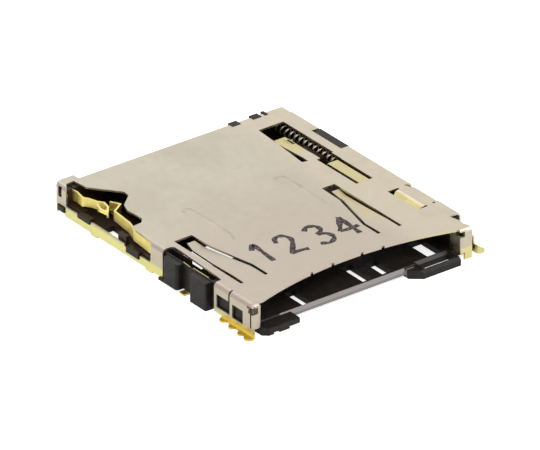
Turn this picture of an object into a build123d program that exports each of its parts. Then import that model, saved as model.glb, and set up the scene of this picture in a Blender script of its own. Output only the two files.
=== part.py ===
from build123d import *
import math
import os

# Push-push memory card socket, seen from the card mouth: +X right, +Y into the socket, +Z up.
# The origin is on the circuit board, under the middle of the cover. Millimetres.

# The card and the room it needs
card_width = 24.0
card_thickness = 2.1
card_side_gap = 0.15
card_top_gap = 0.2
switch_bay = 1.25
ejector_bay = 2.45

# Stamped cover
sheet = 0.2
shell_depth = 31.0
shell_lift = 0.3
fold_radius = 0.45
ear_depth = 0.85
ear_width = 2.6
slit = 0.36
tongue_dip = 0.35
tongue_tip_width = 0.92

# Front of the cover: lip, posts and solder tabs
lip_depth = 1.8
lip_notch = 0.35
post_reach = 0.7
post_radius = 0.65
post_side = 1.47
post_lift = 0.8
post_tail = 0.9
tab_reach = 0.9
tab_pitch = 1.6
tooth_radius = 0.4

# Moulded housing
standoff = 0.3
floor_thickness = 0.6
wall_gap = 0.1
rear_wall = 1.0
right_wall = 0.35
foot_reach = 1.4
foot_height = 0.9
block_reach = 0.45

# Signal contacts
contact_sheet = 0.15
contact_width = 0.7
contact_reach = 1.7
contact_rise = 0.5
contact_gap = 0.15
contact_pit = 0.35

# Ejector
slide_travel = 5.0
slider_play = 0.08
slider_front_gap = 0.1
body_length = 8.6
bed_length = 4.4
bed_thickness = 0.5
spring_wire = 0.2
spring_diameter = 1.05
spring_turns = 13
pin_wire = 0.3
pin_swing = 0.84
lane_play = 0.05
groove_depth = 0.6

# Switch leaves
leaf_sheet = 0.2
leaf_top = 2.95
leaf_bottom = 1.75
leaf_fit = 0.02

# Worked out from the sizes above
shell_width = card_width + 2 * card_side_gap + switch_bay + ejector_bay
card_shift = (switch_bay - ejector_bay) / 2
contact_pitch = card_width / 9.6
half_width = shell_width / 2
front = -shell_depth / 2
back = shell_depth / 2
floor_top = standoff + floor_thickness
slot_top = floor_top + card_thickness + card_top_gap
shell_top = slot_top + sheet
card_left = card_shift - card_width / 2
card_right = card_shift + card_width / 2
mouth_left = card_left - card_side_gap
mouth_right = card_right + card_side_gap
house_half = half_width - sheet - wall_gap
house_back = back - sheet - wall_gap
house_top = slot_top - wall_gap
rear_inner = house_back - rear_wall
post_front = front - post_reach
ear_edge = -half_width + ear_width
above = shell_top + 1


def block(x1, x2, y1, y2, z1, z2):
    """A box between two corners."""
    middle = Pos((x1 + x2) / 2, (y1 + y2) / 2, (z1 + z2) / 2)
    return middle * Box(x2 - x1, y2 - y1, z2 - z1)


def slab(points, z1, z2):
    """A plan outline raised from one height to another."""
    face = make_face(Polyline(*points, close=True))
    return extrude(Plane.XY.offset(z1) * face, z2 - z1)


def stud(x, y, radius, z1, z2):
    """An upright round pin."""
    return Pos(x, y, (z1 + z2) / 2) * Cylinder(radius, z2 - z1)


def strip(points, thickness, bend):
    """The edge-on face of a bent strip, thickened to the left of its path."""
    here = [Vector(*p) for p in points]
    runs = [b - a for a, b in zip(here, here[1:])]
    sides = [Vector(-run.Y, run.X).normalized() for run in runs]
    there = [here[0] + sides[0] * thickness]
    radii = []
    for i in range(1, len(here) - 1):
        turn = runs[i - 1].get_signed_angle(runs[i])
        share = (sides[i - 1] + sides[i]) * (thickness / (1 + sides[i - 1].dot(sides[i])))
        there.append(here[i] + share)
        limit = 0.45 * min(runs[i - 1].length, runs[i].length) / abs(math.tan(math.radians(turn) / 2))
        outer = min(bend + abs(thickness), limit)
        inner = max(outer - abs(thickness), 0.02)
        radii.append((inner, outer) if turn * thickness < 0 else (outer, inner))
    there.append(here[-1] + sides[-1] * thickness)
    sizes = [0] + [r[0] for r in radii] + [0, 0] + [r[1] for r in reversed(radii)] + [0]
    outline = here + there[::-1]
    return make_face(FilletPolyline(*outline, radius=sizes, close=True))


def side_strip(points, thickness, bend, x1, x2):
    """A strip whose path is drawn in Y and Z, from x1 to x2."""
    return extrude(Plane.YZ.offset(x1) * strip(points, thickness, bend), x2 - x1)


def cross_strip(points, thickness, bend, y1, y2):
    """A strip whose path is drawn in X and Z, from y1 to y2."""
    return extrude(Plane.XZ.offset(-y2) * strip(points, thickness, bend), y2 - y1)


def upright_strip(points, thickness, bend, z1, z2):
    """A strip that stands on edge: its path is drawn in plan, from z1 to z2."""
    return extrude(Plane.XY.offset(z1) * strip(points, thickness, bend), z2 - z1)


def mirrored(part, centre):
    """The part mirrored in an upright plane across X."""
    return mirror(part, about=Plane.YZ.offset(centre))


# Places along the cover, measured from its front or its back
tongue_root = front + 3.7
tongue_tip = front + 13.75
tongue_gap = 0.75
tongue_left = card_left + 0.9
tongue_right = card_right - 4.04
block_front = front + 5.45
block_rear = front + 13.75
switch_front = front + 15.7
switch_rear = back - 1.4
notch_front = front + 2.3
leaf_front = front + 5.65
leaf_rear = front + 9.3
eject_root = front + 19.9
eject_end = back - 2.95
eject_left = card_right - 2.85
eject_right = card_right + 0.35
stop_rear = front + 10.9
slider_front = stop_rear + slider_front_gap
shoulder = slider_front + body_length
contact_tip = rear_inner - 4.6
foot_side = card_right - 6.1
foot_hole = card_right - 4.55
common_x = -half_width + 0.72
common_y = front + 10.3


def along_bay(share):
    """Y at a share of the switch opening, from its front to its rear."""
    return switch_front + share * (switch_rear - switch_front)


def tray(inset, bottom, top):
    """The outer or inner side of the folded cover, open to the front and below."""
    rear = back - inset
    side = half_width - inset
    ear = ear_edge - inset
    outline = [
        (-side, front - 2),
        (side, front - 2),
        (side, rear),
        (ear, rear),
        (ear, rear + ear_depth),
        (-side, rear + ear_depth),
    ]
    body = slab(outline, bottom, top)
    corner = body.edges().filter_by(Axis.Z).group_by(Axis.Y)[-1].sort_by(Axis.X)[0]
    body = fillet(corner, 0.9 - inset)
    corner = body.edges().filter_by(Axis.Z).group_by(Axis.X)[-1].sort_by(Axis.Y)[-1]
    body = fillet(corner, 0.5 - inset)
    rims = body.faces().sort_by(Axis.Z)[-1].edges()
    rims = [e for e in rims if e.center().Y > front - 1]
    return fillet(rims, fold_radius - inset)


def lip_cutter():
    """What is cut off in front of the curved lip of the mouth."""
    far = front - 3
    lip_end = front - 0.3
    bow = ThreePointArc(
        (mouth_left + 0.35, lip_end),
        (card_shift - 0.4, lip_end + lip_depth),
        (mouth_right - 0.35, lip_end),
    )
    edges = [
        bow,
        Line((mouth_right - 0.35, lip_end), (half_width + 1, lip_end)),
        Line((half_width + 1, lip_end), (half_width + 1, far)),
        Line((half_width + 1, far), (-half_width - 1, far)),
        Line((-half_width - 1, far), (-half_width - 1, lip_end)),
        Line((-half_width - 1, lip_end), (mouth_left + 0.35, lip_end)),
    ]
    return extrude(make_face(edges), above)


def lip_notches():
    """Small notches along the lip of the mouth."""
    cuts = []
    for place in (-4.7, -1.95, 1.65, 4.1):
        x = card_shift + place
        rise = front + 1.5 - 0.0135 * place * place
        cuts.append(stud(x, rise + 0.15, lip_notch / 2, slot_top - 1, above))
        cuts.append(block(x - lip_notch / 2, x + lip_notch / 2, rise - 1, rise + 0.15, slot_top - 1, above))
    return cuts


def corner_cuts():
    """Where the right wall ends beside its post, and the plate's edge where the posts bend down."""
    beside = mouth_right + post_side + 0.12
    wall_end = [
        (front - 4, slot_top + 2),
        (front + 1.65, slot_top + 2),
        (front + 1.65, shell_top - 1.15),
        (front + 1.0, shell_top - 1.12),
        (front + 0.65, shell_top - 1.25),
        (front + 0.25, shell_top - 1.65),
        (front + 0.1, shell_top - 2.3),
        (front + 0.1, -1),
        (front - 4, -1),
    ]
    reach = half_width + 1
    bend = front + 0.2
    return [
        extrude(Plane.YZ.offset(beside) * make_face(Polyline(*wall_end, close=True)), 3),
        block(mouth_right + 0.1, reach, front - 4, bend, slot_top - 0.3, above),
        block(-reach, mouth_left - 0.3, front - 4, bend, slot_top - 0.3, above),
    ]


def plate_corner():
    """The slanted edge of the plate behind the right post."""
    reach = half_width + 1
    outline = [
        (mouth_right + 0.95, notch_front + 0.15),
        (reach, notch_front),
        (reach, front - 0.3),
        (mouth_right + post_side, front - 0.3),
        (mouth_right + 1.2, front + 0.3),
        (mouth_right + 1.3, front + 0.9),
    ]
    return slab(outline, shell_top - 1.15, above)


def front_tongue(outer, flare, breadth, lean, window):
    """The long spring tongue that presses on the card, and the cut that frees it."""
    knee = front + 6.1
    root = outer + flare * breadth
    tip_outer = outer + lean
    tip_inner = tip_outer + flare * tongue_tip_width
    free = [
        (tip_outer, tongue_tip),
        (outer + 0.5 * lean, tongue_tip - 1.5),
        (outer + 0.15 * lean, front + 9.0),
        (outer, tongue_root),
        (root, tongue_root),
        (root, knee),
        (tip_inner + flare * 0.1, tongue_tip - 2.0),
        (tip_inner, tongue_tip),
    ]
    cut = [
        (outer - flare * slit, tongue_tip + tongue_gap),
        (outer - flare * slit, tongue_root),
        (root + flare * slit, tongue_root),
        (root + flare * slit, knee),
        (window + flare * 0.1, tongue_tip - 2.2),
        (window, tongue_tip + tongue_gap),
    ]
    path = [
        (tongue_tip + 0.5, shell_top - 0.6 * tongue_dip),
        (tongue_tip - 1.2, shell_top - tongue_dip),
        (tongue_root + 1.5, shell_top),
        (tongue_root - 0.5, shell_top),
    ]
    low, high = sorted([outer - flare, root])
    leaf = side_strip(path, sheet, 0.6, low, high) & slab(free, slot_top - 1, above)
    return slab(cut, slot_top - 1, above), leaf


def front_post(inner, outer, with_tail):
    """The front flap beside the mouth, folded down from the plate and curled in at the card."""
    side = 1 if outer > inner else -1
    fold = [(post_front + 2.4, shell_top), (post_front, shell_top), (post_front, post_lift)]
    low, high = sorted([inner + side * 0.35, outer])
    flap = side_strip(fold, sheet, post_radius, low, high)
    low, high = sorted([inner + side * 0.1, inner + side * 0.5])
    brow = side_strip(fold, sheet, post_radius, low, high)
    brow = brow & block(low, high, post_front - 1, front + 3, slot_top - 0.1, above)
    curl = [(inner + side * 0.75, post_front), (inner, post_front), (inner, front + 0.95)]
    guide = upright_strip(curl, -side * sheet, 0.5, post_lift, slot_top)
    part = (flap + brow) & tray(0, -1, shell_top)
    part = part + guide
    if with_tail:
        low, high = sorted([outer - side * post_tail, outer])
        part = part + block(low, high, post_front, post_front + sheet, 0, post_lift + 0.1)
    return part


def post_reliefs():
    """The relief holes at the corners of the two posts."""
    ahead = post_front - 1
    return [
        block(mouth_right - 0.3, mouth_right + 0.55, ahead, front + 0.3, shell_top - 0.85, slot_top - 0.05),
        block(-half_width - 1, -half_width + 0.7, ahead, front, shell_top - 1.0, shell_top - 0.3),
    ]


def solder_tab(lobe_reach, lobe_front):
    """The left wall's foot: bent out to the board, with a row of round teeth."""
    rear = front + 4.1
    reach = -half_width - tab_reach - 0.4
    path = [(-half_width, 0.9), (-half_width, sheet), (reach, sheet)]
    foot = cross_strip(path, sheet, 0.15, lobe_front - 0.3, rear)
    band = [
        (-half_width + 0.6, rear),
        (-half_width - 0.08, rear),
        (-half_width - 0.38, front + 0.1),
        (-half_width - 0.5, lobe_front + 0.3),
        (-half_width + 0.5, lobe_front + 0.55),
        (-half_width + 0.6, front),
    ]
    plan = slab(band, -1, 1.5)
    for i in range(4):
        size = tooth_radius if i < 3 else tooth_radius + 0.15
        y = front + 3.7 - i * tab_pitch if i < 3 else lobe_front + size
        x = -half_width - 0.18 - 0.13 * i if i < 3 else -half_width - lobe_reach + size
        plan = plan + stud(x, y, size, -1, 1.5)
    return foot & plan


def left_cuts():
    """Windows, slits and openings of the left wall."""
    out = -half_width - 1
    deep = -half_width + 0.7
    cuts = [
        block(out, deep, front + 0.85, front + 2.55, 0.8, 2.25),
        block(out, deep, front + 3.15, front + 5.05, 0.9, 2.3),
        block(out, -half_width + 0.5, front + 2.95, front + 3.17, 0.9, above),
        block(out, deep, block_front, block_rear, -1, slot_top - 0.2),
        block(out, deep, switch_front, switch_rear, 1.38, slot_top),
        block(out, deep, switch_front + 0.1, switch_front + 4.3, 1.12, 1.6),
        block(out, -half_width + 0.35, back - 0.65, back - 0.1, 2.1, shell_top - 0.2),
        block(out, -half_width + 0.35, back - 1.3, back + 0.05, -1, 1.25),
    ]
    window = [
        (out, block_front),
        (-half_width + 0.9, block_front),
        (-half_width + 1.0, block_front + 0.85),
        (-half_width + 1.3, block_rear - 1.05),
        (-half_width + 1.3, block_rear - 0.3),
        (-half_width + 1.0, block_rear),
        (out, block_rear),
    ]
    cuts.append(slab(window, slot_top - 0.5, above))
    opening = [
        (-half_width - 1, switch_front),
        (-half_width + 0.1, switch_front),
        (-half_width + 0.6, switch_front + 3.7),
        (-half_width + 1.7, switch_front + 3.8),
        (-half_width + 2.3, switch_front + 4.4),
        (-half_width + 2.2, switch_front + 6.8),
        (-half_width + 2.6, switch_front + 7.8),
        (-half_width + 4.1, switch_front + 9.1),
        (-half_width + 4.2, switch_front + 9.8),
        (-half_width + 4.1, switch_front + 10.1),
        (-half_width + 1.8, switch_front + 13.0),
        (-half_width + 1.6, back - 0.5),
        (-half_width + 0.6, back - 0.6),
        (-half_width + 0.1, switch_rear),
        (-half_width - 1, switch_rear),
    ]
    cuts.append(slab(opening, slot_top - 0.5, above))
    return cuts


def lug_windows():
    """The side wall windows over the lugs of the housing: side, Y range and height range."""
    return [
        (-1, switch_front + 1.807, switch_front + 3.9615, 0.65, 1.45),
        (-1, back - 5.431, back - 3.346, 1.05, 1.65),
        (1, front + 13.5, front + 15.7, 0.9, 1.6),
        (1, back - 5.6, back - 3.4, 0.9, 1.6),
    ]


def lug_cuts():
    """The wall windows as cutters."""
    cuts = []
    for side, y1, y2, z1, z2 in lug_windows():
        low, high = sorted([side * (half_width + 1), side * (half_width - 0.7)])
        cuts.append(block(low, high, y1, y2, z1, z2))
    return cuts


def wall_lobes():
    """Small lobes under the left wall that reach down to the board."""
    made = []
    for y in (front + 16.0, front + 25.0):
        lobe = block(-half_width, -half_width + sheet, y - 0.6, y + 0.6, 0, shell_lift + 0.1)
        lobe = chamfer(lobe.edges().filter_by(Axis.X).sort_by(Axis.Z)[:2], 0.2)
        made.append(lobe)
    return made


def right_cuts():
    """Windows and notches of the right wall and the fold above it."""
    out = half_width + 1
    rear_notch = [
        (half_width - 1.0, leaf_rear + 0.85),
        (out, leaf_rear + 0.85),
        (out, leaf_rear),
        (half_width - 0.25, leaf_rear),
        (half_width - 0.7, leaf_rear - 0.3),
        (half_width - 0.75, leaf_rear + 0.35),
    ]
    return [
        block(half_width - 3.1, half_width - 1.8, front + 5.3, front + 10.05, slot_top - 1, above),
        slab(rear_notch, 2.7, above),
        block(half_width - 1.0, half_width - 0.75, leaf_front - 0.25, leaf_front + 0.05, 2.9, above),
        block(half_width - 1.0, out, leaf_front, leaf_rear, 2.3, above),
        block(half_width - 1.2, out, eject_root + 0.1, eject_root + 4.9, 2.2, above),
        block(half_width - 0.4, out, back - 1.8, back + 1, -1, above),
        block(half_width - 0.7, out, front + 2.6, front + 4.6, 0.8, 2.25),
    ]


def side_leaf():
    """The leaf in the right window, with the rounder fold that carries it."""
    rear = front + 9.75
    fold = [(half_width - 1.85, shell_top), (half_width, shell_top), (half_width, 1.2)]
    root = cross_strip(fold, -sheet, 0.75, leaf_front, leaf_rear)
    path = [
        (half_width - 1.4, shell_top),
        (half_width - 2.0, shell_top),
        (half_width - 2.98, shell_top - 0.24),
    ]
    leaf = cross_strip(path, sheet, 0.8, front + 5.55, rear)
    corner = [
        (half_width - 3.3, rear - 0.45),
        (half_width - 3.0, rear - 0.45),
        (half_width - 2.2, rear + 0.1),
        (half_width - 3.3, rear + 0.1),
    ]
    return leaf - slab(corner, slot_top - 1, above) + root


def eject_opening():
    """The opening over the ejector, as a list of cutters."""
    low = slot_top - 1
    opening = [
        (eject_left + 0.1, eject_end),
        (eject_left - 0.2, eject_root + 4.2),
        (eject_left - 0.6, eject_root + 0.15),
        (eject_left - 0.1, eject_root),
        (eject_right, eject_root),
        (eject_right, eject_end),
    ]
    return [
        slab(opening, low, above),
        block(eject_left + 1.05, eject_right - 0.2, eject_root - 1.6, eject_root, low, above),
        block(eject_left + 0.9, eject_left + 1.25, eject_root - 6.7, eject_root, low, above),
        block(eject_right - 0.7, eject_right - 0.25, eject_root - 6.7, eject_root, low, above),
    ]


def eject_leaves():
    """The two leaves in the ejector opening, the rear one with its side lobe and its low rear tab."""
    left = eject_left + 0.06
    rear_path = [
        (eject_root - 0.3, shell_top),
        (eject_root + 1.0, shell_top),
        (eject_root + 5.0, shell_top - 0.6 * tongue_dip),
        (eject_root + 5.55, shell_top - 0.3 * tongue_dip),
    ]
    rear = side_strip(rear_path, -sheet, 0.4, left, eject_left + 1.35)
    tab_path = [
        (eject_root + 4.9, shell_top - 0.75 * tongue_dip),
        (eject_root + 5.5, shell_top - 1.4 * tongue_dip),
        (eject_root + 6.2, shell_top - 1.5 * tongue_dip),
    ]
    tab = side_strip(tab_path, -sheet, 0.4, left, eject_left + 1.9)
    lobe_path = [
        (eject_left + 1.0, shell_top - 0.4 * tongue_dip),
        (eject_left + 1.5, shell_top - 0.4 * tongue_dip),
        (eject_left + 2.0, shell_top - 0.55),
    ]
    lobe = cross_strip(lobe_path, -sheet, 0.5, eject_root + 2.3, eject_root + 5.5)
    hole = block(eject_left + 1.15, eject_left + 1.4, eject_root + 3.9, eject_root + 5.0, 1, above)
    front_path = [
        (eject_root - 7.0, shell_top),
        (eject_root - 5.5, shell_top),
        (eject_root - 1.5, shell_top - 0.2),
    ]
    fore = side_strip(front_path, -sheet, 0.6, eject_left + 1.25, eject_right - 0.7)
    return (rear + lobe + tab) - hole + fore


def back_bumps():
    """Centre and width of the bosses that show in notches of the cover's back edge."""
    return [(card_right - 3.85, 1.0), (card_right - 1.25, 1.0), (card_right - 0.1, 0.35)]


def make_shell():
    """The stamped cover, one piece of folded sheet."""
    shell = tray(0, shell_lift, shell_top) - tray(sheet, shell_lift - 1, slot_top)
    shell = shell - lip_cutter()
    for cutter in corner_cuts() + lip_notches() + right_cuts() + eject_opening() + lug_cuts():
        shell = shell - cutter
    shell = shell - block(ear_edge + 0.3, half_width - 1.4, back - 1, back + 1, -1, 1.7)
    shell = shell - block(-half_width + 1.2, ear_edge + 1, back - 0.1, back + 1, -1, 1.2)
    for centre, width in back_bumps():
        room = width / 2 + 0.05
        shell = shell - block(centre - room, centre + room, back - 0.85, back + 1, 2.2, 5)
    tongues = [
        front_tongue(tongue_left, 1, 2.6, 0.7, tongue_left + 1.8),
        front_tongue(tongue_right, -1, 2.25, 0.35, tongue_right - 1.22),
    ]
    for cutter, leaf in tongues:
        shell = shell - cutter + leaf
    shell = shell + solder_tab(0.92, front - 1.2)
    shell = shell + mirrored(solder_tab(0.92, front - 0.7), 0)
    for cutter in left_cuts():
        shell = shell - cutter
    for lobe in wall_lobes():
        shell = shell + lobe
    shell = shell + front_post(mouth_left - 0.2, -half_width, False)
    shell = shell + front_post(mouth_right, mouth_right + post_side, True) - plate_corner()
    for relief in post_reliefs():
        shell = shell - relief
    return shell + eject_leaves() + side_leaf()


def side_blocks():
    """The two blocks of the left side that stand out through the cover."""
    outer = -half_width - block_reach
    inner = mouth_left - 0.15
    top = slot_top - 0.17
    rear = block(outer, inner, block_rear - 2.9, block_rear - 0.55, 0.25, top)
    rear = fillet(rear.edges().filter_by(Axis.Z).sort_by(Axis.X)[:2], 0.35)
    fore = block(outer, inner, block_front + 0.75, block_front + 3.4, 0, top)
    fore = fillet(fore.edges().filter_by(Axis.Z).sort_by(Axis.X)[:2], 0.2)
    flange = block(outer + 0.25, inner, block_rear - 0.55, block_rear + 0.45, 0, shell_lift - 0.02)
    return rear + fore + flange


def front_feet():
    """The two feet in front of the mouth; the right one is a frame round an open slot."""
    reach = front - foot_reach
    right = slab(
        [
            (foot_side, front + 0.8),
            (foot_side, reach + 0.95),
            (foot_side + 1.2, reach),
            (card_right - 0.3, reach),
            (card_right - 0.3, front + 0.8),
        ],
        0,
        foot_height,
    )
    right = chamfer(right.edges().group_by(Axis.Z)[-1].filter_by(Axis.X).sort_by(Axis.Y)[0], 0.28)
    right = right - block(foot_hole, card_right - 0.5, reach + 0.5, front + 0.35, -1, foot_height + 1)
    left = slab(
        [
            (-half_width + 0.95, front + 0.3),
            (-half_width + 0.95, reach + 0.5),
            (-half_width + 1.55, reach),
            (card_left + 3.85, reach),
            (card_left + 3.85, front + 0.3),
        ],
        0,
        foot_height - 0.1,
    )
    left = left - block(card_left + 0.7, card_left + 1.4, reach - 1, reach + 0.5, -1, 0.2)
    left = left - block(card_left + 2.6, card_left + 4.1, reach - 1, reach + 0.4, -1, 0.25)
    return left + right


def floor_cuts():
    """Openings in the floor: slots at the mouth, the middle window and the contact slots."""
    low = -1
    high = floor_top + 0.01
    slots = [
        (card_left + 5.45, 1.1, 0.3, 3.2),
        (card_left + 13.0, 1.1, 0.5, 4.0),
        (card_left + 15.45, 1.15, 0.55, 3.2),
        (card_right - 2.8, 1.7, 0.75, 3.95),
    ]
    cuts = [block(x, x + width, front + y1, front + y2, low, high) for x, width, y1, y2 in slots]
    hole_rear = front + 0.35
    slope = [(hole_rear, high), (hole_rear + 0.3, high), (hole_rear, high - 0.3)]
    slope = extrude(Plane.YZ.offset(foot_hole) * make_face(Polyline(*slope, close=True)), card_right - 0.5 - foot_hole)
    cuts += [
        slope,
        block(card_left + 2.0, card_right - 2.8, front + 12.0, front + 16.3, low, high),
        block(-house_half + 0.25, card_left + 0.5, along_bay(0.44), along_bay(0.625), low, high),
        block(foot_hole, card_right - 0.5, front - 1, hole_rear, low, high),
        block(-half_width, mouth_left + 0.02, front - 1, front + 0.97, post_lift - 0.02, high),
        block(mouth_right - 0.02, half_width, front - 1, front + 0.97, post_lift - 0.02, high),
    ]
    half = contact_width / 2 + contact_gap
    for x in contact_places():
        cuts.append(block(x - half, x + half, contact_tip - 0.5, rear_inner - 0.5, floor_top - contact_pit, high))
    return cuts


def switch_pit():
    """The open pit behind the side blocks, where the fixed switch strip stands."""
    deep = block(common_x - 0.25, mouth_left - 0.12, block_front + 0.85, block_rear - 0.1, floor_top, above)
    gap = block(mouth_left - 0.2, mouth_left + 0.02, block_front + 0.85, block_rear - 3.2, floor_top, above)
    return deep + gap


def contact_places():
    """X of each signal contact: the last two sit closer together, as on the card."""
    first = card_right - 1.28 * contact_pitch
    places = [first - i * contact_pitch for i in range(7)]
    places.append(places[-1] - 0.98 * contact_pitch)
    places.append(places[-1] - 0.68 * contact_pitch)
    return places


def contact_path():
    """The upper side of a contact, from its solder tail to its tip, in Y and Z."""
    run = floor_top + contact_sheet + 0.05
    return [
        (house_back + contact_reach, contact_sheet),
        (house_back + 0.45, contact_sheet),
        (house_back + 0.3, run),
        (rear_inner - 1.0, run),
        (contact_tip + 1.2, run + contact_rise),
        (contact_tip + 0.5, run + 0.7 * contact_rise),
        (contact_tip, floor_top - 0.1),
    ]


def make_contact(x):
    """One signal contact: solder tail, step through the rear wall, sprung beam and tip."""
    half = contact_width / 2
    return side_strip(contact_path(), contact_sheet, 0.1, x - half, x + half)


def contact_holes():
    """The holes in the rear wall that hold the contacts."""
    run = floor_top + 0.05
    half = contact_width / 2 + leaf_fit
    low = run - leaf_fit
    high = run + contact_sheet + leaf_fit
    return [
        block(x - half, x + half, rear_inner - 1, house_back + 1, low, high)
        for x in contact_places()
    ]


protect_path = [
    (-half_width + 0.6, block_rear + 0.15),
    (-half_width + 0.6, along_bay(0.022)),
    (-half_width + 0.9, along_bay(0.266)),
    (-half_width + 1.4, along_bay(0.367)),
    (-half_width + 1.65, along_bay(0.568)),
    (-half_width + 3.05, along_bay(0.633)),
    (-half_width + 2.45, along_bay(0.712)),
]
detect_path = [
    (-half_width + 0.85, back - 0.45),
    (-half_width + 0.9, along_bay(0.964)),
    (-half_width + 0.65, along_bay(0.874)),
    (-half_width + 1.0, along_bay(0.835)),
    (-half_width + 1.3, along_bay(0.763)),
    (-half_width + 1.7, along_bay(0.722)),
    (-half_width + 1.5, along_bay(0.658)),
    (-half_width + 0.95, along_bay(0.61)),
    (-half_width + 0.84, along_bay(0.661)),
    (-half_width + 1.0, along_bay(0.7)),
    (-half_width + 1.2, along_bay(0.728)),
]
common_path = [
    (common_x - 0.02, front + 11.2),
    (common_x - 0.14, front + 9.9),
    (common_x, front + 9.5),
    (common_x, front + 7.2),
]


def below(points):
    """What is cut off under a leaf, from a line drawn in Y and Z down to the floor."""
    outline = points + [(points[-1][0], 0), (points[0][0], 0)]
    return extrude(Plane.YZ.offset(-half_width - 1) * make_face(Polyline(*outline, close=True)), 6)


def make_detect():
    """The rear switch leaf: it narrows forwards and ends in a curl with a low near side."""
    leaf = upright_strip(detect_path, leaf_sheet, 0.12, leaf_bottom, leaf_top)
    curl_front = along_bay(0.55)
    curl_rear = along_bay(0.745)
    leaf = leaf - below([(curl_front, 2.1), (along_bay(0.8), 2.1), (rear_inner, leaf_bottom)])
    near = block(-half_width, -half_width + 1.12, curl_front, curl_rear, 1, leaf_top - 0.35)
    return leaf - near


def make_protect():
    """The front switch leaf: a long blade that narrows to its zigzag end."""
    leaf = upright_strip(protect_path, leaf_sheet, 0.12, leaf_bottom, leaf_top)
    return leaf - below([(switch_front + 2.5, leaf_bottom), (along_bay(0.75), leaf_bottom + 0.3)])


def make_common():
    """The fixed switch strip behind the blocks, with its solder tail."""
    blade = upright_strip(common_path, -leaf_sheet, 0.12, leaf_bottom, leaf_top)
    leg_x = common_x - 0.1
    leg = block(leg_x - leaf_sheet, leg_x, common_y - 0.4, common_y + 0.4, 0, leaf_bottom + 0.2)
    tail = block(-half_width - 0.28, leg_x, common_y - 0.4, common_y + 0.4, 0, leaf_sheet)
    return blade + leg + tail


def leaf_slots():
    """The slots that hold the switch leaves in the housing."""
    grown = leaf_sheet + leaf_fit
    low = leaf_bottom - leaf_fit
    slots = []
    for path, side in ((protect_path, 1), (detect_path, 1), (common_path, -1)):
        wide = upright_strip(path, side * grown, 0.12, low, above)
        thin = upright_strip(path, -side * leaf_fit, 0.12, low, above)
        slots.append(wide + thin)
    y1 = common_y - 0.42
    y2 = common_y + 0.42
    leg_x = common_x - 0.1
    slots.append(block(leg_x - grown, leg_x + leaf_fit, y1, y2, -1, leaf_bottom + 0.3))
    slots.append(block(-half_width - 1, leg_x, y1, y2, -1, grown))
    return slots


# The ejector: slider, lanes of its groove, spring and cam pin
slider_left = mouth_right + slider_play
slider_right = house_half - right_wall - slider_play
slider_low = floor_top + slider_play
slider_high = slot_top - 0.6
lane = pin_wire / 2 + lane_play
lane_left = slider_left + 0.2 + lane
lane_right = lane_left + pin_swing
pin_x = lane_left + pin_swing / 2
pin_y = front + 7.3
pin_tip = shoulder - 0.7
pin_level = slot_top - 0.2 - pin_wire / 2
spring_x = mouth_right + 0.65
spring_z = floor_top + 1.25
spring_front = shoulder + 0.02
spring_back = rear_inner - 0.02


def make_housing():
    """The moulded base: floor, side walls, ejector channel, switch bay, feet and bosses."""
    body = block(-house_half, house_half, front - 0.05, house_back, standoff, floor_top)
    lead = body.edges().filter_by(Axis.X).group_by(Axis.Y)[0].sort_by(Axis.Z)[-1]
    body = chamfer(lead, 0.3)
    low = floor_top - 0.2
    walls = [
        block(-house_half, mouth_left, front + 1.0, switch_front, low, house_top),
        block(-house_half, card_left - 0.35, switch_front, switch_front + 2.4, low, leaf_bottom - 0.15),
        block(-house_half, card_left - 0.35, back - 3.6, rear_inner, low, leaf_bottom - 0.15),
        block(-house_half, -house_half + 0.45, along_bay(0.317), along_bay(0.41), low, leaf_bottom + 0.25),
        block(mouth_left - 0.12, mouth_left, block_rear - 3.2, block_rear, low, slot_top - 0.02),
        block(mouth_right, mouth_right + 1.15, front + 1.0, notch_front, low, house_top),
        block(mouth_right, house_half, notch_front - 0.1, stop_rear, low, house_top),
        block(house_half - right_wall, house_half, stop_rear, house_back, low, house_top),
        block(-house_half, house_half, rear_inner, house_back, low, house_top),
    ]
    for wall in walls:
        body = body + wall
    corners = body.edges().filter_by(Axis.Z).group_by(Axis.Y)[-1]
    body = fillet(corners, 0.25)
    body = body + side_blocks() + front_feet()
    for cutter in floor_cuts() + contact_holes() + leaf_slots() + [switch_pit()]:
        body = body - cutter
    pocket = pin_level - pin_wire / 2 - 0.1
    body = body - block(mouth_right - 1, house_half - right_wall, front + 5.0, stop_rear + 1, pocket, above)
    body = body - block(half_width - 1.1, half_width, leaf_front - 0.15, leaf_rear + 0.15, 2.3, above)
    body = body - stud(pin_x, pin_y, pin_wire / 2 + 0.03, pocket - 1.1, pocket + 1)
    post = Pos(spring_x, rear_inner - 0.6, spring_z) * Rot(90, 0, 0) * Cylinder(0.35, 1.6)
    body = body + post
    left_foot = block(-half_width - 0.15, -house_half + 0.3, back - 1.2, back - 0.05, 0.65, 1.2)
    body = body + fillet(left_foot.edges().filter_by(Axis.Z).sort_by(Axis.X)[:2], 0.12)
    for side, y1, y2, z1, z2 in lug_windows():
        low, high = sorted([side * (house_half - 0.3), side * (half_width + 0.12)])
        body = body + block(low, high, y1 + 0.06, y2 - 0.06, z1 + 0.05, z2 - 0.05)
    rib = block(
        half_width - 1.1,
        half_width - 0.1,
        eject_root + 0.2,
        eject_root + 4.8,
        slider_high + 0.15,
        shell_top - 0.1,
    )
    body = body + rib
    for centre, width in back_bumps():
        half = width / 2
        body = body + block(centre - half, centre + half, back - 0.8, back, 2.4, shell_top + 0.05)
    return body


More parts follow.
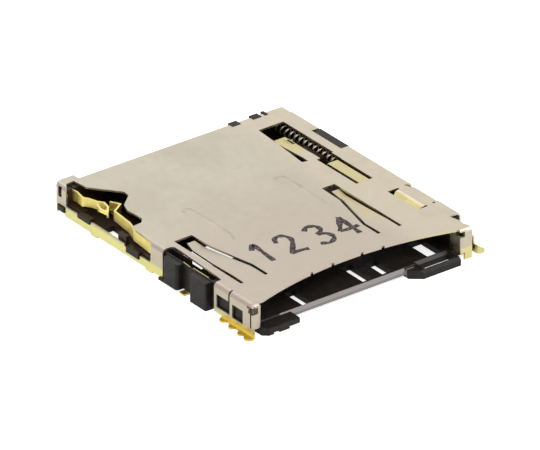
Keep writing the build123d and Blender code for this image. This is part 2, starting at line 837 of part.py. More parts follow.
def heart_groove():
    """The groove that the cam pin follows: two lanes round an island with a notch."""
    start = pin_tip - slide_travel
    room = lane + 0.05
    outer = [
        (lane_left - lane, start - room + 0.1),
        (lane_left, start - room),
        (pin_x, start - room + 0.05),
        (lane_right, start - room),
        (lane_right + lane, start - room + 0.1),
        (lane_right + lane, pin_tip + room),
        (lane_left - lane, pin_tip + room),
    ]
    island = [
        (lane_left + lane, start + room),
        (pin_x, start + room + 0.2),
        (lane_right - lane, start + room),
        (lane_right - lane, pin_tip - room - 0.3),
        (pin_x, pin_tip - room),
        (lane_left + lane, pin_tip - room - 0.3),
    ]
    low = slider_high - groove_depth
    return slab(outer, low, above) - slab(island, low, above)


def make_slider():
    """The sliding block: body with the heart groove, spring bed and the head for the card corner."""
    rear = shoulder + bed_length
    body = block(slider_left, slider_right, slider_front, shoulder, slider_low, slider_high)
    bed = block(slider_left, slider_right, shoulder - 0.5, rear, slider_low, slider_low + bed_thickness)
    rail = block(slider_right - 0.3, slider_right, shoulder - 0.5, rear, slider_low, slider_high)
    nose = [
        (slider_left, shoulder + 1.0),
        (slider_left, rear),
        (card_right - 2.3, rear),
        (card_right - 2.3, shoulder + 3.4),
    ]
    head = slab(nose, slider_low, slot_top - 0.7)
    side = spring_x - spring_diameter / 2 - spring_wire
    head = head - block(side, slider_left + 1, shoulder, rear + 1, slider_low + bed_thickness, above)
    part = (body + bed + rail + head) - heart_groove()
    seat = block(slider_left - 1, slider_left + 0.17, slider_front + 0.8, slider_front + 7.5, 1.18, 1.92)
    return part - seat


def make_lock():
    """The small leaf on the slider that grips the side of the card."""
    lie = slider_left + 0.05
    path = [
        (lie, slider_front + 0.9),
        (lie, slider_front + 4.6),
        (slider_left - 0.33, slider_front + 6.2),
        (slider_left - 0.05, slider_front + 7.3),
    ]
    return upright_strip(path, -0.12, 0.4, 1.2, 1.9)


def make_spring():
    """The coil spring that pushes the slider back to the mouth."""
    length = spring_back - spring_front - spring_wire
    turn = Helix(length / spring_turns, length, spring_diameter / 2)
    coil = sweep(Plane(turn @ 0, z_dir=turn % 0) * Circle(spring_wire / 2), path=turn)
    return Pos(spring_x, spring_front + spring_wire / 2, spring_z) * Rot(-90, 0, 0) * coil


def make_pin():
    """The bent wire from its pivot in the housing to the groove in the slider."""
    foot = pin_level - 1.25
    tip = slider_high - groove_depth + 0.1
    path = FilletPolyline(
        (pin_x, pin_y, foot),
        (pin_x, pin_y, pin_level),
        (lane_right, pin_tip, pin_level),
        (lane_right, pin_tip, tip),
        radius=0.2,
    )
    return sweep(Plane(path @ 0, z_dir=path % 0) * Circle(pin_wire / 2), path=path)


parts = {"shell": make_shell(), "housing": make_housing()}
for number, x in enumerate(contact_places(), 1):
    parts[f"contact_{number}"] = make_contact(x)
parts["detect_leaf"] = make_detect()
parts["protect_leaf"] = make_protect()
parts["switch_common"] = make_common()
parts["eject_slider"] = make_slider()
parts["eject_spring"] = make_spring()
parts["cam_pin"] = make_pin()
parts["card_lock"] = make_lock()

os.makedirs("parts", exist_ok=True)
for name, part in parts.items():
    export_step(part, f"parts/{name}.step")
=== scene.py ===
import math
import random

import bmesh
import bpy
from mathutils import Matrix, Vector


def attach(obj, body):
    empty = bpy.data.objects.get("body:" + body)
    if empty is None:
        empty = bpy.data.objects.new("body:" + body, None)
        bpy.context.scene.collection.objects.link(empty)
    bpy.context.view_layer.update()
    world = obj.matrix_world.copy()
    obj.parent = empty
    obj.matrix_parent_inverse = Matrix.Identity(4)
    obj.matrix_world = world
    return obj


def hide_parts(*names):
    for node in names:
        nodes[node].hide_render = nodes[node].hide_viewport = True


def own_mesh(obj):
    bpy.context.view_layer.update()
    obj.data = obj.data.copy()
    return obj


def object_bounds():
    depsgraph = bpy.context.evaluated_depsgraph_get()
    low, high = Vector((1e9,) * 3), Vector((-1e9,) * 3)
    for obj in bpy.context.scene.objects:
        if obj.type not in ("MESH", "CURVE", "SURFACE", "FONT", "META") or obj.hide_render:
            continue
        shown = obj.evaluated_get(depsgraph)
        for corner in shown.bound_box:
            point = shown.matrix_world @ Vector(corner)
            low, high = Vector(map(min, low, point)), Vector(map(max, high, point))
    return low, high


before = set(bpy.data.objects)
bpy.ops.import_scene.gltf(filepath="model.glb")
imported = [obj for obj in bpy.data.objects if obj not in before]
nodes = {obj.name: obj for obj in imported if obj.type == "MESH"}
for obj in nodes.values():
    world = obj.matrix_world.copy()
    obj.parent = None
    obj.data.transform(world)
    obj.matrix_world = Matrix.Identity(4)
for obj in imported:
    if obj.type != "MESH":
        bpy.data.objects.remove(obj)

# Memory card socket, seen from the front left. Lengths are written in millimetres, and MM makes
# them metres. Only the lamps, the floor and nearest_seen are written in metres.
MM = 0.001
cad_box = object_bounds()

# The top of the cover, and how far the pieces on it reach down into the sheet
plate_top = 3.4
inlay_depth = 0.01
line_steps = 6

# The ink stamp: where it starts and how it turns, the places and size of its digits, and its
# strokes, whose width swells along them and is a little ragged
stamp_text = "1234"
stamp_start = (-8.0, -9.95)
stamp_turn = -3.0
digit_height = 3.85
digit_width = 2.4
digit_places = (0.15, 3.3, 6.85, 9.95)
stroke_width = 0.52
stroke_swell = 0.16
swell_pace = 0.9
stroke_ragged = 0.1
ink_height = 0.004
ink_layer = 0.0008
ink_seed = 7
digit_strokes = {
    "1": [
        [(0.22, 0.74), (0.52, 1.0), (0.52, 0.5), (0.5, 0.0)],
    ],
    "2": [
        [(0.08, 0.72), (0.25, 0.95), (0.6, 0.98), (0.8, 0.75), (0.6, 0.45), (0.12, 0.05)],
        [(0.12, 0.05), (0.5, 0.08), (0.95, 0.04)],
    ],
    "3": [
        [(0.12, 0.85), (0.4, 1.0), (0.76, 0.9), (0.74, 0.66), (0.42, 0.54)],
        [(0.42, 0.54), (0.8, 0.44), (0.86, 0.18), (0.5, 0.0), (0.1, 0.1)],
    ],
    "4": [
        [(0.66, 1.0), (0.36, 0.64), (0.06, 0.34)],
        [(0.06, 0.34), (0.5, 0.33), (0.98, 0.36)],
        [(0.68, 0.98), (0.67, 0.5), (0.66, 0.0)],
    ],
}

# The faint creases pressed into the plate: their section, as shares of their width and height,
# and the lines that they follow
crease_width = 0.7
crease_height = 0.009
crease_fade = 0.5
crease_section = ((-0.5, 0.0), (-0.3, 0.35), (0.0, 1.0), (0.3, 0.35), (0.5, 0.0))
crease_courses = (
    ((-7.9, 3.0), (-7.5, 3.55), (-7.0, 3.5), (-6.8, 2.6), (-6.75, -2.0), (-7.0, -3.6), (-7.4, -4.6)),
    ((3.5, 3.1), (3.9, 3.5), (4.4, 3.3), (4.65, 2.5), (4.65, -2.6), (4.6, -3.8)),
)

# The coil spring of the ejector
spring_x = 12.2
spring_z = 2.15
spring_front = 4.12
spring_back = 14.18
spring_turns = 13
spring_radius = 0.525
wire_radius = 0.1
wire_sides = 12
turn_steps = 28

# The cover's nickel: two tints that drift into each other, then the tint that is laid on at the
# front, on the right, as grain and stains, on the walls, and the darker left fold, which is painted
# shade
nickel_dark = (0.515, 0.465, 0.375)
nickel_light = (0.565, 0.515, 0.415)
nickel_front = (0.525, 0.455, 0.376)
nickel_right = (0.60, 0.537, 0.42)
nickel_grain = (0.40, 0.35, 0.28)
nickel_stain = (0.46, 0.385, 0.32)
nickel_wall = (0.51, 0.455, 0.35)
nickel_fold_shade = (0.43, 0.365, 0.31)
front_share = 0.8
grain_share = 0.14
stain_share = 0.22

# The cover's yellower parts: the tongue and leaves on the right, the leaf beside the card, darker
# by painted shade, the plated lower edge, and the left solder tab
tongue_tint = (0.60, 0.52, 0.28)
card_leaf_shaded_tint = (0.44, 0.375, 0.18)
gold_left = (0.695, 0.66, 0.275)
gold_right = (0.65, 0.575, 0.265)
gold_tab = (0.66, 0.46, 0.07)

# Patches in the finishes: the size of their features, their detail, and the part of the noise
# over which they come up
cover_drift = (5.0, 2.0, 0.3, 0.7)
cover_grain = (0.18, 2.0, 0.35, 0.75)
cover_stains = (2.6, 3.0, 0.55, 0.72)
cover_polish = (0.9, 4.0, 0.3, 0.7)
plastic_mottle = (0.7, 4.0, 0.35, 0.75)
plastic_polish = (0.3, 3.0, 0.3, 0.7)
gold_wear = (1.1, 3.0, 0.35, 0.7)
gold_polish = (1.5, 1.0, 0.3, 0.7)
wire_drift = (0.5, 2.0, 0.3, 0.7)
ink_thin = (0.26, 3.0, 0.44, 0.68)
crease_drift = (0.9, 3.0, 0.3, 0.7)

# Where tints start and are full, along one axis of the cover
front_from = (6.0, -7.0)
right_from = (4.6, 9.0)
wall_from = (3.2, 2.8)
# The left fold's darker tint, which is painted shade, starts and is full here
fold_shade_from_x = (-13.5, -13.75)
fold_shade_from_z = (2.9, 3.05)
bent_down = (3.385, 3.3)
leaf_floor = (2.9, 3.1)
gold_from = (1.75, 1.2)
gold_right_from = (8.0, 9.0)
tab_from_z = (0.75, 0.35)
tab_from_y = (-11.0, -11.6)
tab_from_x = (0.0, -1.0)

# Zones, as two places along X and two along Y, with soft edges
zone_edge = 0.12
right_corner = (11.4, 16.0, -18.0, -12.9)
ejector_leaf = (9.8, 11.1, -2.4, 4.2)
# The leaf beside the card, darkened by painted shade
shaded_card_leaf = (10.9, 13.3, -10.1, -5.7)
front_left = (-16.0, -8.0, -18.0, -9.9)
# The bays, where the plastic is browned by a painted reflection of the gold
switch_bay = (-13.75, -9.5, 0.3, 15.2)
ejector_bay = (8.0, 13.75, -2.5, 14.2)
# The front lip, which carries a painted highlight
lip_highlight_zone = (-8.6, 6.2, -15.7, -15.4)

# The plated edge is ragged, and lower at the front left
edge_ragged = (1.2, 2.0)
ragged_height = 0.5
front_left_drop = 0.62

# Roughness of the cover's nickel, from its smoothest to its dullest, and of everything else
cover_roughness = (0.33, 0.45)
fold_roughness = 0.5
plastic_roughness = 0.42
contact_roughness = 0.3
leaf_roughness = 0.45
wire_roughness = 0.42
ink_roughness = 0.5
crease_roughness = 0.45

# The moulded plastic: its tint deep in the bays, a painted brown reflection of the gold, its pale
# front lip, a painted highlight, its gloss, and how far its roughness strays either way
bay_reflection_tint = (0.026, 0.014, 0.006)
bay_reflection_from = (3.3, 2.9)
lip_highlight_tint = (0.26, 0.232, 0.218)
lip_highlight_from = (-15.5, -15.54)
plastic_gloss = 0.22
polish_range = (-0.06, 0.08)

# The smooth slopes of the moulded floor, at the mouth and in the foot: the difference of Y and Z
# on each, its range of X, its roughness and its colour, a painted highlight at the mouth and a
# painted reflection in the foot
sheen_slopes = (
    (-16.15, -10.0, 6.6, 0.14, (0.23, 0.208, 0.196)),
    (-15.75, 6.9, 10.9, 0.26, (0.035, 0.026, 0.022)),
)
slope_skin = (0.05, 0.02)
slope_bottom = (0.56, 0.6)
slope_top = (0.93, 0.9)
slope_y = (-15.7, -14.7)

# Two tints each of the other finishes
housing_tints = ((0.011, 0.0088, 0.0070), (0.020, 0.0166, 0.0134))
slider_tints = ((0.016, 0.012, 0.009), (0.030, 0.024, 0.018))
contact_tints = ((0.50, 0.38, 0.12), (0.42, 0.31, 0.09))
leaf_tints = ((0.84, 0.72, 0.245), (0.77, 0.635, 0.20))
wire_tints = ((0.49, 0.445, 0.355), (0.61, 0.565, 0.465))
ink_tints = ((0.014, 0.008, 0.008), (0.135, 0.105, 0.098))
# The creases' darker nickel is painted shade
crease_shade_tints = ((0.44, 0.395, 0.315), (0.52, 0.47, 0.38))
gold_polish_range = (-0.02, 0.03)
ink_gloss = 0.25

# Fine relief: the size of its features, their detail, and its depth
cover_relief = (0.06, 3.0, 0.0025)
rolling_stretch = (0.5, 8.0, 0.5)
plastic_relief = (0.07, 4.0, 0.004)
wire_relief = (0.04, 2.0, 0.001)
ink_relief = (0.12, 2.0, 0.002)

# The studio: the lamps' names, places, widths and watts, the floor, and how bright the
# background is to the camera and in a mirror-like surface
lamps = (
    ("key", (-0.22, -0.2, 0.42), 0.25, 0.9),
    ("fill", (0.35, -0.25, 0.3), 0.55, 0.5),
    ("rear", (0.05, 0.4, 0.35), 0.3, 0.4),
    ("glint", (0.214, -0.189, 0.28), 0.1, 0.15),
)
world_light = 0.6
world_seen = (1.0, 1.0)
floor_seen = (0.8, 0.34)
floor_reach = 0.8
floor_gap = 0.00002
floor_tint = 0.85

# The camera: azimuth, elevation and roll in degrees, its distance from the socket, the height it
# looks at and its shift to the right and up, and a focal length in pixels of the picture
camera_angles = (-37.46, 28.25, 0.16)
camera_distance = 952.98
camera_height = 0.5
camera_shift = (0.404, 0.319)
focal_pixels = 9692
picture_width = 540
sensor_width = 36.0
nearest_seen = 0.01


class Finish:
    """A material in the making: its tree, its shader and the object's own coordinates."""

    def __init__(self, name, metallic, roughness):
        self.material = bpy.data.materials.new(name)
        self.material.use_nodes = True
        self.tree = self.material.node_tree
        self.shader = self.tree.nodes["Principled BSDF"]
        self.shader.inputs["Metallic"].default_value = metallic
        self.shader.inputs["Roughness"].default_value = roughness
        self.place = self.tree.nodes.new("ShaderNodeTexCoord").outputs["Object"]
        split = self.tree.nodes.new("ShaderNodeSeparateXYZ")
        self.tree.links.new(self.place, split.inputs[0])
        self.x, self.y, self.z = split.outputs

    def noise(self, size, detail, stretch=(1, 1, 1)):
        """Soft noise with features of about that size."""
        mapping = self.tree.nodes.new("ShaderNodeMapping")
        mapping.inputs["Scale"].default_value = [1 / (size * MM * s) for s in stretch]
        self.tree.links.new(self.place, mapping.inputs["Vector"])
        noise = self.tree.nodes.new("ShaderNodeTexNoise")
        noise.inputs["Scale"].default_value = 1.0
        noise.inputs["Detail"].default_value = detail
        self.tree.links.new(mapping.outputs[0], noise.inputs["Vector"])
        return noise.outputs["Fac"]

    def remap(self, source, low, high, to_low=0.0, to_high=1.0):
        """A value carried from one range to another, smoothly and clamped."""
        node = self.tree.nodes.new("ShaderNodeMapRange")
        node.interpolation_type = "SMOOTHSTEP"
        node.inputs["From Min"].default_value = low
        node.inputs["From Max"].default_value = high
        node.inputs["To Min"].default_value = to_low
        node.inputs["To Max"].default_value = to_high
        self.tree.links.new(source, node.inputs["Value"])
        return node.outputs[0]

    def patches(self, size, detail, low, high):
        """Patches from 0 to 1, which come up where the noise goes from low to high."""
        return self.remap(self.noise(size, detail), low, high)

    def along(self, axis, start, full):
        """0 at one place on an axis and 1 at another."""
        return self.remap(axis, start * MM, full * MM)

    def math(self, kind, first, second):
        """Two values joined by one step of arithmetic."""
        node = self.tree.nodes.new("ShaderNodeMath")
        node.operation = kind
        for socket, value in zip(node.inputs, (first, second)):
            if isinstance(value, (int, float)):
                socket.default_value = value
            else:
                self.tree.links.new(value, socket)
        return node.outputs[0]

    def times(self, first, second):
        """Where both values are up."""
        return self.math("MULTIPLY", first, second)

    def either(self, first, second):
        """Where one value or the other is up."""
        return self.math("MAXIMUM", first, second)

    def outside(self, share):
        """Where a share is down."""
        return self.math("SUBTRACT", 1.0, share)

    def blend(self, share, first, second):
        """One value laid over another by a share from 0 to 1."""
        kept = self.times(first, self.outside(share))
        return self.math("ADD", kept, self.times(share, second))

    def mix(self, share, first, second):
        """One colour laid over another by a share from 0 to 1."""
        node = self.tree.nodes.new("ShaderNodeMix")
        node.data_type = "RGBA"
        self.tree.links.new(share, node.inputs["Factor"])
        sockets = [s for s in node.inputs if s.type == "RGBA"]
        for socket, value in zip(sockets, (first, second)):
            if isinstance(value, tuple):
                socket.default_value = (*value, 1.0)
            else:
                self.tree.links.new(value, socket)
        return [s for s in node.outputs if s.type == "RGBA"][0]

    def zone(self, x1, x2, y1, y2):
        """1 inside a range of X and Y, fading out over its edges."""
        share = None
        for axis, low, high in ((self.x, x1, x2), (self.y, y1, y2)):
            rise = self.along(axis, low - zone_edge, low + zone_edge)
            fall = self.along(axis, high + zone_edge, high - zone_edge)
            both = self.times(rise, fall)
            share = both if share is None else self.times(share, both)
        return share

    def relief(self, size, detail, depth, stretch=(1, 1, 1)):
        """Fine bumps of that size and depth."""
        node = self.tree.nodes.new("ShaderNodeBump")
        node.inputs["Strength"].default_value = 1.0
        node.inputs["Distance"].default_value = depth * MM
        self.tree.links.new(self.noise(size, detail, stretch), node.inputs["Height"])
        self.tree.links.new(node.outputs[0], self.shader.inputs["Normal"])

    def set(self, name, output):
        """The shader's input of that name takes this value."""
        self.tree.links.new(output, self.shader.inputs[name])


def nickel_tint(f):
    """The nickel's colour over the plate, its walls and its left fold: drifting tints, darker
    towards the front, lighter and yellower on the right, with grain and stains.
    """
    tint = f.mix(f.patches(*cover_drift), nickel_dark, nickel_light)
    tint = f.mix(f.times(f.along(f.y, *front_from), front_share), tint, nickel_front)
    tint = f.mix(f.along(f.x, *right_from), tint, nickel_right)
    tint = f.mix(f.times(f.patches(*cover_grain), grain_share), tint, nickel_grain)
    tint = f.mix(f.times(f.patches(*cover_stains), stain_share), tint, nickel_stain)
    return f.mix(f.along(f.z, *wall_from), tint, nickel_wall)


def leaf_tint(f, tint):
    """Yellower metal on the tongue and the leaves that are bent down on the right; the leaf beside
    the card is also darkened by painted shade.
    """
    bent = f.along(f.z, *bent_down)
    warm = f.times(f.times(f.along(f.x, *right_from), bent), f.along(f.z, *leaf_floor))
    warm = f.times(warm, f.outside(f.zone(*right_corner)))
    warm = f.either(warm, f.zone(*ejector_leaf))
    tint = f.mix(warm, tint, tongue_tint)
    # The leaf beside the card: yellower metal, and darker by painted shade
    return f.mix(f.times(bent, f.zone(*shaded_card_leaf)), tint, card_leaf_shaded_tint)


def plated_tint(f, tint):
    """Gold plating along the lower edge, and deeper gold on the left solder tab."""
    level = f.math("ADD", f.z, f.times(f.noise(*edge_ragged), ragged_height * MM))
    level = f.math("ADD", level, f.times(f.zone(*front_left), front_left_drop * MM))
    gold = f.along(level, *gold_from)
    tint = f.mix(gold, tint, gold_left)
    tint = f.mix(f.times(gold, f.along(f.x, *gold_right_from)), tint, gold_right)
    tab = f.times(f.along(f.z, *tab_from_z), f.along(f.y, *tab_from_y))
    tab = f.times(tab, f.along(f.x, *tab_from_x))
    return f.mix(tab, tint, gold_tab)


def cover_finish():
    """Warm nickel on rolled sheet, yellower on its leaves, and plated at its lower edge."""
    f = Finish("cover_nickel", 1.0, cover_roughness[0])
    # The left fold is darker by painted shade, and duller
    fold = f.times(f.along(f.x, *fold_shade_from_x), f.along(f.z, *fold_shade_from_z))
    tint = f.mix(fold, nickel_tint(f), nickel_fold_shade)
    f.set("Base Color", plated_tint(f, leaf_tint(f, tint)))
    polish = f.remap(f.noise(*cover_polish[:2]), *cover_polish[2:], *cover_roughness)
    f.set("Roughness", f.blend(fold, polish, fold_roughness))
    f.relief(*cover_relief, rolling_stretch)
    return f.material


def plastic_finish(name, tints):
    """Moulded plastic: near black with a fine grain, with a painted brown reflection deep in the
    bays and a painted highlight on its front lip.
    """
    f = Finish(name, 0.0, plastic_roughness)
    f.shader.inputs["Specular IOR Level"].default_value = plastic_gloss
    tint = f.mix(f.patches(*plastic_mottle), *tints)
    # Painted reflection: the plastic deep in the bays is browned as if by light from the gold
    bay_reflection = f.either(f.zone(*switch_bay), f.zone(*ejector_bay))
    tint = f.mix(f.times(bay_reflection, f.along(f.z, *bay_reflection_from)), tint, bay_reflection_tint)
    # Painted highlight: a pale band along the front lip
    tint = f.mix(f.times(f.along(f.y, *lip_highlight_from), f.zone(*lip_highlight_zone)), tint, lip_highlight_tint)
    dullness = [plastic_roughness + stray for stray in polish_range]
    rough = f.remap(f.noise(*plastic_polish[:2]), *plastic_polish[2:], *dullness)
    # Each slope's colour is painted light: a highlight at the mouth, a brown reflection in the foot
    for plane, x1, x2, smooth, slope_sheen_tint in sheen_slopes:
        height = f.math("SUBTRACT", f.math("SUBTRACT", f.y, f.z), plane * MM)
        slope = f.along(f.math("ABSOLUTE", height, 0.0), *slope_skin)
        slope = f.times(slope, f.along(f.z, *slope_bottom))
        slope = f.times(slope, f.along(f.z, *slope_top))
        slope = f.times(slope, f.zone(x1, x2, *slope_y))
        rough = f.blend(slope, rough, smooth)
        tint = f.mix(slope, tint, slope_sheen_tint)
    f.set("Base Color", tint)
    f.set("Roughness", rough)
    f.relief(*plastic_relief)
    return f.material


def gold_finish(name, tints, roughness):
    """Thin gold plating on rolled bronze."""
    f = Finish(name, 1.0, roughness)
    f.set("Base Color", f.mix(f.patches(*gold_wear), *tints))
    dullness = [roughness + stray for stray in gold_polish_range]
    f.set("Roughness", f.remap(f.noise(*gold_polish[:2]), *gold_polish[2:], *dullness))
    return f.material


def wire_finish():
    """Bright drawn spring wire."""
    f = Finish("spring_wire", 1.0, wire_roughness)
    f.set("Base Color", f.mix(f.patches(*wire_drift), *wire_tints))
    f.relief(*wire_relief)
    return f.material


def ink_finish():
    """Stamping ink: thin and uneven, so the metal greys it."""
    f = Finish("stamp_ink", 0.0, ink_roughness)
    f.shader.inputs["Specular IOR Level"].default_value = ink_gloss
    f.set("Base Color", f.mix(f.patches(*ink_thin), *ink_tints))
    f.relief(*ink_relief)
    return f.material


def crease_finish():
    """The cover's nickel where the sheet was pressed, a little duller, and darker as painted shade.
    """
    f = Finish("crease_nickel", 1.0, crease_roughness)
    f.set("Base Color", f.mix(f.patches(*crease_drift), *crease_shade_tints))
    return f.material


def dress(names, material):
    """These CAD nodes get this finish."""
    for name in names:
        slots = nodes[name].data.materials
        slots.clear()
        slots.append(material)


def smooth_line(points):
    """The points of a soft line through the given ones."""
    points = [Vector(p) for p in points]
    ends = [points[0]] + points + [points[-1]]
    line = []
    for a, b, c, d in zip(ends, ends[1:], ends[2:], ends[3:]):
        bend = 2 * a - 5 * b + 4 * c - d
        twist = 3 * b - a - 3 * c + d
        for i in range(line_steps):
            t = i / line_steps
            line.append(0.5 * (2 * b + (c - a) * t + bend * t * t + twist * t ** 3))
    line.append(points[-1])
    return line


def sideways(line, i):
    """The direction across a line at one of its points."""
    ahead = line[min(i + 1, len(line) - 1)] - line[max(i - 1, 0)]
    return Vector((-ahead.y, ahead.x)).normalized()


def cover_piece(name, mesh, material):
    """A finished piece that lies on the cover and moves with the base."""
    bmesh.ops.recalc_face_normals(mesh, faces=mesh.faces)
    data = bpy.data.meshes.new(name)
    mesh.to_mesh(data)
    mesh.free()
    data.materials.append(material)
    piece = bpy.data.objects.new(name, data)
    bpy.context.scene.collection.objects.link(piece)
    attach(piece, "base")


def stroke_outline(stroke, place, chance):
    """The outline in plan of one ink stroke of the digit at that place."""
    turn = Matrix.Rotation(math.radians(stamp_turn), 2)
    line = smooth_line([(place + px * digit_width, py * digit_height) for px, py in stroke])
    left = []
    right = []
    for i, point in enumerate(line):
        side = sideways(line, i)
        swell = 1 + stroke_swell * math.sin(i * swell_pace + place)
        half = stroke_width / 2 * (swell + chance.uniform(-stroke_ragged, stroke_ragged))
        for row, offset in ((left, half), (right, -half)):
            spot = turn @ (point + side * offset)
            row.append((spot.x + stamp_start[0], spot.y + stamp_start[1]))
    return left + right[::-1]


def add_stroke(mesh, outline, level):
    """A thin closed stroke, from inside the sheet up to that level."""
    low_level = plate_top - inlay_depth
    top = [mesh.verts.new((x * MM, y * MM, level * MM)) for x, y in outline]
    low = [mesh.verts.new((x * MM, y * MM, low_level * MM)) for x, y in outline]
    total = len(outline)
    for i in range(total // 2 - 1):
        j = total - 1 - i
        mesh.faces.new((top[i], top[j], top[j - 1], top[i + 1]))
        mesh.faces.new((low[i + 1], low[j - 1], low[j], low[i]))
    for i in range(total):
        k = (i + 1) % total
        mesh.faces.new((top[i], top[k], low[k], low[i]))


def make_stamp(material):
    """Plain digits stamped in ink on the cover, each stroke a hair above the one before."""
    chance = random.Random(ink_seed)
    mesh = bmesh.new()
    level = plate_top + ink_height
    for place, digit in zip(digit_places, stamp_text):
        for stroke in digit_strokes[digit]:
            level += ink_layer
            add_stroke(mesh, stroke_outline(stroke, place, chance), level)
    cover_piece("stamp_digits", mesh, material)


def make_creases(material):
    """The faint pressed creases on the plate, as low soft ridges that fade at their ends."""
    mesh = bmesh.new()
    for course in crease_courses:
        line = smooth_line(course)
        rows = []
        for i, point in enumerate(line):
            side = sideways(line, i)
            fade = math.sin(math.pi * (i + 0.5) / len(line)) ** crease_fade
            row = []
            for across, rise in crease_section:
                spot = point + side * (across * crease_width)
                lift = rise * crease_height * fade if rise > 0 else -inlay_depth
                row.append(mesh.verts.new((spot.x * MM, spot.y * MM, (plate_top + lift) * MM)))
            rows.append(row)
        for near, far in zip(rows, rows[1:]):
            for i, a in enumerate(near):
                k = (i + 1) % len(near)
                mesh.faces.new((a, near[k], far[k], far[i]))
        mesh.faces.new(rows[0])
        mesh.faces.new(rows[-1])
    for face in mesh.faces:
        face.smooth = True
    cover_piece("plate_creases", mesh, material)


def coil_tree():
    """A node tree that winds a wire along its axis, with its sizes as inputs."""
    tree = bpy.data.node_groups.new("coil_winding", "GeometryNodeTree")
    sizes = {}
    for name in ("Turns", "Length", "Radius", "Wire", "Finish"):
        kind = "NodeSocketMaterial" if name == "Finish" else "NodeSocketFloat"
        socket = tree.interface.new_socket(name, in_out="INPUT", socket_type=kind)
        sizes[name] = socket.identifier
    tree.interface.new_socket("Geometry", in_out="OUTPUT", socket_type="NodeSocketGeometry")
    entry = tree.nodes.new("NodeGroupInput")
    leave = tree.nodes.new("NodeGroupOutput")
    spiral = tree.nodes.new("GeometryNodeCurveSpiral")
    spiral.inputs["Resolution"].default_value = turn_steps
    tree.links.new(entry.outputs["Turns"], spiral.inputs["Rotations"])
    tree.links.new(entry.outputs["Radius"], spiral.inputs["Start Radius"])
    tree.links.new(entry.outputs["Radius"], spiral.inputs["End Radius"])
    tree.links.new(entry.outputs["Length"], spiral.inputs["Height"])
    ring = tree.nodes.new("GeometryNodeCurvePrimitiveCircle")
    ring.inputs["Resolution"].default_value = wire_sides
    tree.links.new(entry.outputs["Wire"], ring.inputs["Radius"])
    skin = tree.nodes.new("GeometryNodeCurveToMesh")
    skin.inputs["Fill Caps"].default_value = True
    tree.links.new(spiral.outputs[0], skin.inputs["Curve"])
    tree.links.new(ring.outputs[0], skin.inputs["Profile Curve"])
    smooth = tree.nodes.new("GeometryNodeSetShadeSmooth")
    real = tree.nodes.new("GeometryNodeRealizeInstances")
    paint = tree.nodes.new("GeometryNodeSetMaterial")
    for near, far in ((skin, smooth), (smooth, real), (real, paint), (paint, leave)):
        tree.links.new(near.outputs[0], far.inputs[0])
    tree.links.new(entry.outputs["Finish"], paint.inputs["Material"])
    return tree, sizes


def make_coil(material):
    """The ejector's coil spring, wound at its rest length."""
    tree, sizes = coil_tree()
    blank = bpy.data.objects.new("coil_blank", bpy.data.meshes.new("coil_blank"))
    bpy.context.scene.collection.objects.link(blank)
    winding = blank.modifiers.new("winding", "NODES")
    winding.node_group = tree
    rest = spring_back - spring_front
    winding[sizes["Turns"]] = float(spring_turns)
    winding[sizes["Length"]] = (rest - 2 * wire_radius) * MM
    winding[sizes["Radius"]] = spring_radius * MM
    winding[sizes["Wire"]] = wire_radius * MM
    winding[sizes["Finish"]] = material
    depsgraph = bpy.context.evaluated_depsgraph_get()
    data = bpy.data.meshes.new_from_object(blank.evaluated_get(depsgraph))
    bpy.data.objects.remove(blank)
    start = Vector((spring_x, spring_front + wire_radius, spring_z)) * MM
    data.transform(Matrix.Translation(start) @ Matrix.Rotation(math.radians(-90), 4, "X"))
    data.name = "ejector_coil"
    piece = bpy.data.objects.new("ejector_coil", data)
    bpy.context.scene.collection.objects.link(piece)
    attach(piece, "base")
    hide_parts("eject_spring")
    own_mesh(piece)


def light_path(tree, direct, mirrored):
    """One value for rays from the camera or through glass, another for mirrored rays."""
    path = tree.nodes.new("ShaderNodeLightPath")
    rays = (("Is Camera Ray", direct), ("Is Transmission Ray", direct), ("Is Glossy Ray", mirrored))
    total = None
    for name, share in rays:
        part = tree.nodes.new("ShaderNodeMath")
        part.operation = "MULTIPLY"
        part.inputs[1].default_value = share
        tree.links.new(path.outputs[name], part.inputs[0])
        if total is None:
            total = part.outputs[0]
            continue
        largest = tree.nodes.new("ShaderNodeMath")
        largest.operation = "MAXIMUM"
        tree.links.new(total, largest.inputs[0])
        tree.links.new(part.outputs[0], largest.inputs[1])
        total = largest.outputs[0]
    return total


def make_floor():
    """A pale floor that looks white to the camera and keeps the shadow."""
    mesh = bpy.data.meshes.new("floor")
    reach = floor_reach
    corners = [(-reach, -reach, 0), (reach, -reach, 0), (reach, reach, 0), (-reach, reach, 0)]
    mesh.from_pydata(corners, [], [(0, 1, 2, 3)])
    floor = bpy.data.objects.new("floor", mesh)
    bpy.context.scene.collection.objects.link(floor)
    floor.location.z = cad_box[0][2] - floor_gap
    material = bpy.data.materials.new("floor_paper")
    material.use_nodes = True
    tree = material.node_tree
    tree.nodes.clear()
    paper = tree.nodes.new("ShaderNodeBsdfDiffuse")
    paper.inputs["Color"].default_value = (floor_tint, floor_tint, floor_tint, 1)
    glow = tree.nodes.new("ShaderNodeEmission")
    tree.links.new(light_path(tree, *floor_seen), glow.inputs["Strength"])
    both = tree.nodes.new("ShaderNodeAddShader")
    tree.links.new(paper.outputs[0], both.inputs[0])
    tree.links.new(glow.outputs[0], both.inputs[1])
    out = tree.nodes.new("ShaderNodeOutputMaterial")
    tree.links.new(both.outputs[0], out.inputs["Surface"])
    mesh.materials.append(material)


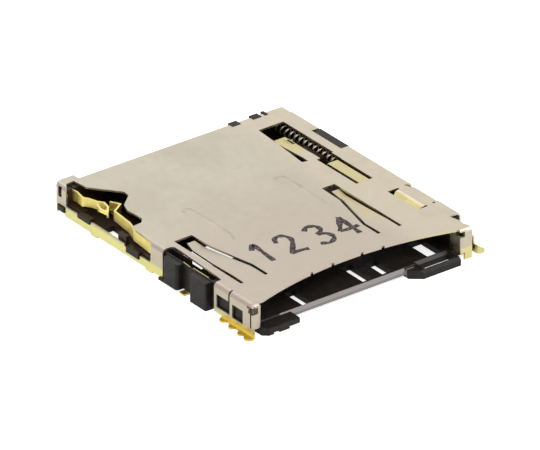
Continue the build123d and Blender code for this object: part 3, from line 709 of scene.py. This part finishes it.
def make_world():
    """Even light from all round, and a white background."""
    world = bpy.data.worlds.new("studio")
    bpy.context.scene.world = world
    world.use_nodes = True
    tree = world.node_tree
    back = tree.nodes["Background"]
    back.inputs["Color"].default_value = (1, 1, 1, 1)
    level = tree.nodes.new("ShaderNodeMapRange")
    level.inputs["To Min"].default_value = world_light
    level.inputs["To Max"].default_value = 1.0
    tree.links.new(light_path(tree, *world_seen), level.inputs["Value"])
    tree.links.new(level.outputs[0], back.inputs["Strength"])


def make_lamp(name, place, size, watts):
    """A soft square lamp that looks at the socket."""
    data = bpy.data.lights.new(name, "AREA")
    data.size = size
    data.energy = watts
    lamp = bpy.data.objects.new(name, data)
    lamp.location = place
    lamp.rotation_euler = (-Vector(place)).to_track_quat("-Z", "Y").to_euler()
    bpy.context.scene.collection.objects.link(lamp)


def make_camera():
    """The camera at the photograph's angle: front left, from above, through a long lens."""
    azimuth, elevation, roll = (math.radians(a) for a in camera_angles)
    right = Vector((math.cos(azimuth), math.sin(azimuth), 0))
    level_back = Vector((math.sin(azimuth), -math.cos(azimuth), 0))
    back = level_back * math.cos(elevation) + Vector((0, 0, math.sin(elevation)))
    up = back.cross(right)
    turned_right = right * math.cos(roll) + up * math.sin(roll)
    turned_up = up * math.cos(roll) - right * math.sin(roll)
    place = back * camera_distance + Vector((0, 0, camera_height))
    place += turned_right * camera_shift[0] + turned_up * camera_shift[1]
    data = bpy.data.cameras.new("camera")
    data.sensor_width = sensor_width
    data.lens = focal_pixels * sensor_width / picture_width
    data.clip_start = nearest_seen
    camera = bpy.data.objects.new("camera", data)
    turned = Matrix((turned_right, turned_up, back)).transposed().to_4x4()
    camera.matrix_world = Matrix.Translation(place * MM) @ turned
    bpy.context.scene.collection.objects.link(camera)
    bpy.context.scene.camera = camera


wire = wire_finish()
dress(["shell"], cover_finish())
dress(["housing"], plastic_finish("housing_plastic", housing_tints))
dress(["eject_slider"], plastic_finish("slider_plastic", slider_tints))
dress([name for name in nodes if name.startswith("contact_")],
      gold_finish("contact_gold", contact_tints, contact_roughness))
dress(["detect_leaf", "protect_leaf", "switch_common"],
      gold_finish("leaf_gold", leaf_tints, leaf_roughness))
dress(["cam_pin", "card_lock", "eject_spring"], wire)
make_coil(wire)
make_stamp(ink_finish())
make_creases(crease_finish())

make_floor()
make_world()
for lamp in lamps:
    make_lamp(*lamp)
make_camera()

scene = bpy.context.scene
scene.view_settings.view_transform = "Standard"
